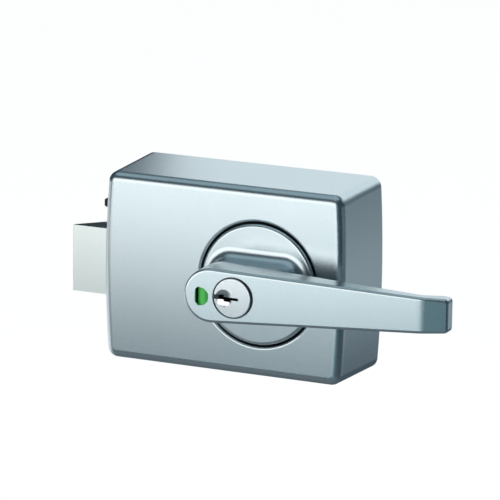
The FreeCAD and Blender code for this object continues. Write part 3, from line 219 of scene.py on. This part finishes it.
def paint_shade_on_flanks(material, amount):
    """Painted shade and reflection: the top and bottom flanks of a part are made darker than its brushed
    face by which way they face.
    """
    nodes, links = material.node_tree.nodes, material.node_tree.links
    shader = nodes["Principled BSDF"]
    coordinates = nodes.new("ShaderNodeTexCoord")
    parts = nodes.new("ShaderNodeSeparateXYZ")
    links.new(coordinates.outputs["Normal"], parts.inputs["Vector"])
    upright = nodes.new("ShaderNodeMath")
    upright.operation = "ABSOLUTE"
    links.new(parts.outputs["Z"], upright.inputs[0])
    flank = nodes.new("ShaderNodeMapRange")
    flank.inputs["From Min"].default_value = FLANK_START
    flank.inputs["From Max"].default_value = FLANK_FULL
    flank.inputs["To Min"].default_value = 1.0
    flank.inputs["To Max"].default_value = amount
    links.new(upright.outputs["Value"], flank.inputs["Value"])
    scaled = nodes.new("ShaderNodeVectorMath")
    scaled.operation = "SCALE"
    links.new(shader.inputs["Base Color"].links[0].from_socket, scaled.inputs["Vector"])
    links.new(flank.outputs["Result"], scaled.inputs["Scale"])
    links.new(scaled.outputs["Vector"], shader.inputs["Base Color"])


silver = surface("satin_silver", (0.65, 0.73, 0.757), 0.28, grain=5200.0, depth=0.05, tone=0.012)
nickel = turned("turned_nickel", (0.78, 0.82, 0.84), 0.2)
stainless = surface("brushed_stainless", (0.88, 0.945, 0.92), 0.34, stretch=(1, 1, 0.03), grain=2600.0,
                    depth=0.3, tone=0.02)
# Painted shade: the bolt's top and bottom flanks are darkened by which way they face.
paint_shade_on_flanks(stainless, BOLT_FLANK_PAINTED_SHADE)
plate = surface("zinc_plate", (0.62, 0.63, 0.62), 0.42, stretch=(0.3, 0.3, 1), grain=700.0, tone=0.08)
screw = surface("screw_steel", (0.55, 0.56, 0.58), 0.32, grain=1800.0, tone=0.1)
spring = surface("spring_wire", (0.42, 0.43, 0.45), 0.3, grain=1500.0, tone=0.1)
# Painted shade: the barrel is near-black so that its ring round the plug reads as a shaded gap.
barrel = surface("barrel_painted_shade", (0.14, 0.15, 0.16), 0.4, stretch=(1, 0.06, 1), grain=1500.0)
brass = surface("machined_brass", (0.78, 0.6, 0.3), 0.32, stretch=(1, 0.06, 1), grain=1500.0)
# Near-black steel, darker all over than the other steel parts.
dark = surface("near_black_steel", (0.015, 0.02, 0.026), 0.42, metallic=0.6, grain=1100.0, tone=0.15)
green = surface("green_plastic", (0.15, 0.98, 0.18), 0.35, metallic=0.0, grain=800.0, depth=0.08, tone=0.05)
green_dark = surface("dark_green_plastic", (0.008, 0.09, 0.05), 0.4, metallic=0.0, grain=800.0, depth=0.08)

FINISHES = {
    "case": silver, "lever_handle": silver, "latch_bolt": stainless, "deadlock_plunger": dark,
    "plug": nickel, "indicator_drum": green, "indicator_carrier": green_dark,
    "mounting_plate": plate, "chassis_plate": plate, "lever_bearing": dark, "hub_cam": plate,
    "bolt_tail": plate, "detent_guide": plate, "deadlock_detent": plate, "outside_follower": plate,
    "plug_tail_cam": plate, "guide_pin": screw, "tail_rivets": screw, "case_screws": screw,
    "chassis_screws": screw, "bearing_screws": screw, "cylinder_set_screw": screw,
    "tail_cam_screw": screw, "lever_return_spring": spring, "bolt_spring": spring,
    "plunger_spring": spring, "pin_springs": spring, "hub_clip": spring, "follower_clip": spring,
    "cylinder_body": barrel, "driver_pins": brass, "key_pins": brass, "pin_cover": brass,
}
for node, finish in FINISHES.items():
    NODES[node].data.materials.clear()
    NODES[node].data.materials.append(finish)


# Springs that a moving piece presses: wound from wire.
def wound_spring(name, node, turns, wire):
    """A coil along X in the place of a node's plain tube."""
    low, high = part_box(node)
    left = low[0] + wire / 2
    right = high[0] - wire / 2
    radius = (high[2] - low[2] - wire) / 2
    middle = mathutils.Vector((0.0, (low[1] + high[1]) / 2, (low[2] + high[2]) / 2))
    along = mathutils.Vector((1.0, 0.0, 0.0))
    steps = turns * TURN_STEPS
    corners = []
    for step in range(steps + 1):
        angle = 2 * math.pi * step / TURN_STEPS
        outward = mathutils.Vector((0.0, math.cos(angle), math.sin(angle)))
        centre = middle + along * (left + (right - left) * step / steps) + outward * radius
        for part in range(WIRE_STEPS):
            turn = 2 * math.pi * part / WIRE_STEPS
            corners.append(centre + (outward * math.cos(turn) + along * math.sin(turn)) * wire / 2)
    last = len(corners) - 1
    faces = [list(range(WIRE_STEPS)), list(range(last, last - WIRE_STEPS, -1))]
    for step in range(steps):
        near = step * WIRE_STEPS
        for part in range(WIRE_STEPS):
            beside = (part + 1) % WIRE_STEPS
            faces.append([near + part, near + WIRE_STEPS + part, near + WIRE_STEPS + beside, near + beside])
    mesh = bpy.data.meshes.new(name)
    mesh.from_pydata(corners, [], faces)
    mesh.update()
    mesh.shade_smooth()
    mesh.materials.append(spring)
    coil = bpy.data.objects.new(name, mesh)
    scene.collection.objects.link(coil)
    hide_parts(node)
    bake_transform(coil)


wound_spring("bolt_spring_coil", "bolt_spring", BOLT_SPRING_TURNS, BOLT_SPRING_WIRE)
wound_spring("plunger_spring_coil", "plunger_spring", PLUNGER_SPRING_TURNS, PLUNGER_SPRING_WIRE)


# Floor: plain and pale. Seen directly or through glass it is pale all over. In the metal it glows in
# painted
#  patches, pale behind and beside the object, blue-grey in front and dark between them: painted
#  reflections.
#  Its own surface takes the object's shadow.
def patch(nodes, links, place, centre, reach, stops):
    """A round patch of painted reflection, a glow on the floor, with a colour ramp from its rim to its
    centre.
    """
    mapping = nodes.new("ShaderNodeMapping")
    mapping.vector_type = "TEXTURE"
    mapping.inputs["Location"].default_value = centre
    mapping.inputs["Scale"].default_value = (reach, reach, 1.0)
    links.new(place.outputs["Object"], mapping.inputs["Vector"])
    fall = nodes.new("ShaderNodeTexGradient")
    fall.gradient_type = "SPHERICAL"
    links.new(mapping.outputs["Vector"], fall.inputs["Vector"])
    return ramp(nodes, links, fall.outputs["Fac"], stops)


def larger(nodes, links, first, second):
    """The larger of two values."""
    node = nodes.new("ShaderNodeMath")
    node.operation = "MAXIMUM"
    links.new(first, node.inputs[0])
    links.new(second, node.inputs[1])
    return node.outputs["Value"]


def colour_mix(nodes, links, kind, first):
    """A colour mix of a blend type, with its first colour linked. Returns its sockets by name."""
    node = nodes.new("ShaderNodeMix")
    node.data_type = "RGBA"
    node.blend_type = kind
    factor, near, far = [item for item in node.inputs if item.enabled]
    factor.default_value = 1.0
    links.new(first, near)
    result = [item for item in node.outputs if item.enabled][0]
    return {"factor": factor, "second": far, "result": result}


def floor_surface(name):
    """The floor's material: its own surface, an even pale glow for direct rays, and glowing patches of
    painted reflection for glossy rays.
    """
    material = surface(name, FLOOR_COLOUR, FLOOR_ROUGHNESS, metallic=0.0, grain=60.0, depth=0.02, tone=0.01)
    nodes, links = material.node_tree.nodes, material.node_tree.links
    shader = nodes["Principled BSDF"]
    place = nodes.new("ShaderNodeTexCoord")
    centre, reach, rim, full, colour = FRONT_REFLECTED_GLOW
    glow = patch(nodes, links, place, centre, reach, [(rim, REFLECTED_GLOW_BETWEEN), (full, colour)])
    for centre, reach, rim, full, colour in REFLECTED_GLOW_PATCHES:
        more = patch(nodes, links, place, centre, reach, [(rim, BLACK), (full, colour)])
        added = colour_mix(nodes, links, "ADD", glow)
        links.new(more, added["second"])
        glow = added["result"]
    tone = colour_mix(nodes, links, "MIX", glow)
    tone["second"].default_value = FLOOR_SEEN
    path = nodes.new("ShaderNodeLightPath")
    direct = larger(nodes, links, path.outputs["Is Camera Ray"], path.outputs["Is Transmission Ray"])
    seen = larger(nodes, links, direct, path.outputs["Is Glossy Ray"])
    links.new(direct, tone["factor"])
    links.new(tone["result"], shader.inputs["Emission Color"])
    links.new(seen, shader.inputs["Emission Strength"])
    return material


bpy.ops.mesh.primitive_plane_add(size=FLOOR_SIZE, location=(0, 0, FLOOR_LEVEL))
floor = bpy.context.object
floor.name = "floor"
floor.data.materials.append(floor_surface("pale_floor"))

# World and lamps
world = bpy.data.worlds.new("studio")
scene.world = world
world.use_nodes = True
sky = world.node_tree.nodes["Background"]
sky.inputs["Color"].default_value = WORLD_COLOUR
sky.inputs["Strength"].default_value = WORLD_STRENGTH


def lamp(name, place, target, wide, high, power, colour):
    """A rectangular lamp that faces a point."""
    light = bpy.data.lights.new(name, "AREA")
    light.shape = "RECTANGLE"
    light.size = wide
    light.size_y = high
    light.energy = power
    light.color = colour
    thing = bpy.data.objects.new(name, light)
    scene.collection.objects.link(thing)
    thing.location = place
    aim = mathutils.Vector(target) - mathutils.Vector(place)
    thing.rotation_euler = aim.to_track_quat("-Z", "Y").to_euler()


for facts in LAMPS:
    lamp(*facts)

# Camera at the photograph's angle
camera = bpy.data.cameras.new("camera")
camera.lens = CAMERA_LENS
camera.sensor_width = CAMERA_SENSOR
viewer = bpy.data.objects.new("camera", camera)
scene.collection.objects.link(viewer)
aimed = mathutils.Matrix.Translation(CAMERA_AIM)
for degrees, axis in [(CAMERA_TURN, "Z"), (90.0 - CAMERA_RISE, "X"), (CAMERA_ROLL, "Z")]:
    aimed = aimed @ mathutils.Matrix.Rotation(math.radians(degrees), 4, axis)
viewer.matrix_world = aimed @ mathutils.Matrix.Translation((0.0, 0.0, CAMERA_DISTANCE))
scene.camera = viewer
scene.view_settings.view_transform = "Standard"
